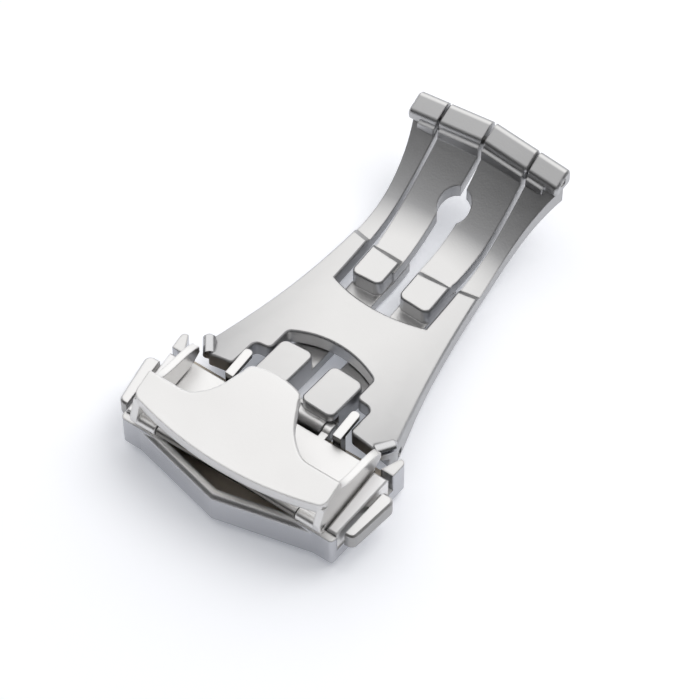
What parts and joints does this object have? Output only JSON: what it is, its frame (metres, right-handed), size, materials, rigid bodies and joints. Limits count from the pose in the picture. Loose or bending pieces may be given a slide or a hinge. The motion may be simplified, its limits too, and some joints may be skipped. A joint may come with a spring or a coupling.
{
  "type": "deployant clasp",
  "caption": "Folding watch strap clasp, closed: pointed cover with T-shaped strap flap and side push buttons, wide curved outer leaf with arms, forked inner leaf and far hinge.",
  "frame": {"origin": "centre of the cover's flat outer face, on the table that the closed clasp lies on", "axes": "+X across the clasp to the right-hand button, +Y from the cover's point to the far hinge, +Z to the wrist side"},
  "size_m": [0.022, 0.0371, 0.0088],
  "materials": {
    "steel": "fine brushed stainless steel",
    "satin": "satin stainless steel with softened edges",
    "polished": "polished stainless steel",
    "pin_steel": "turned stainless steel pin",
    "spring_steel": "drawn spring steel wire"
  },
  "bodies": {
    "head": {"outer_cover": "steel", "base_plate": "steel", "left_retainer_bar": "polished", "right_retainer_bar": "polished", "retainer_pins": "pin_steel", "flap_hinge_pin": "pin_steel", "left_button_spring": "spring_steel", "right_button_spring": "spring_steel", "spring_stop": "steel", "latch_cover_plate": "steel", "head_hinge_pin": "pin_steel"},
    "flap": {"strap_flap": "satin", "strap_post": "pin_steel"},
    "left_push": {"left_button": "satin", "left_latch_slide": "steel"},
    "right_push": {"right_button": "satin", "right_latch_slide": "steel"},
    "inner": {"inner_leaf": "satin"},
    "outer": {"outer_leaf": "satin", "far_hinge_pin": "pin_steel", "left_corner_bead": "polished", "right_corner_bead": "polished"}
  },
  "joints": [
    {"name": "flap_hinge", "type": "hinge", "parent": "head", "child": "flap", "pos_m": [0, -0.0038, 0.00435], "axis": [1, 0, 0], "range_deg": [0, 70]},
    {"name": "left_button_slide", "type": "slide", "parent": "head", "child": "left_push", "axis": [1, 0, 0], "range_m": [0, 0.00028], "stiffness_N_per_m": 1500, "springref_m": -0.0004, "deforming": ["left_button_spring"]},
    {"name": "right_button_slide", "type": "slide", "parent": "head", "child": "right_push", "axis": [-1, 0, 0], "range_m": [0, 0.00028], "stiffness_N_per_m": 1500, "springref_m": -0.0004, "deforming": ["right_button_spring"]},
    {"name": "head_hinge", "type": "hinge", "parent": "head", "child": "inner", "pos_m": [0, 0.0038, 0.003], "axis": [1, 0, 0], "range_deg": [0, 45]},
    {"name": "far_hinge", "type": "hinge", "parent": "inner", "child": "outer", "pos_m": [0, 0.03, 0.00695], "axis": [-1, 0, 0], "range_deg": [0, 170]}
  ]
}
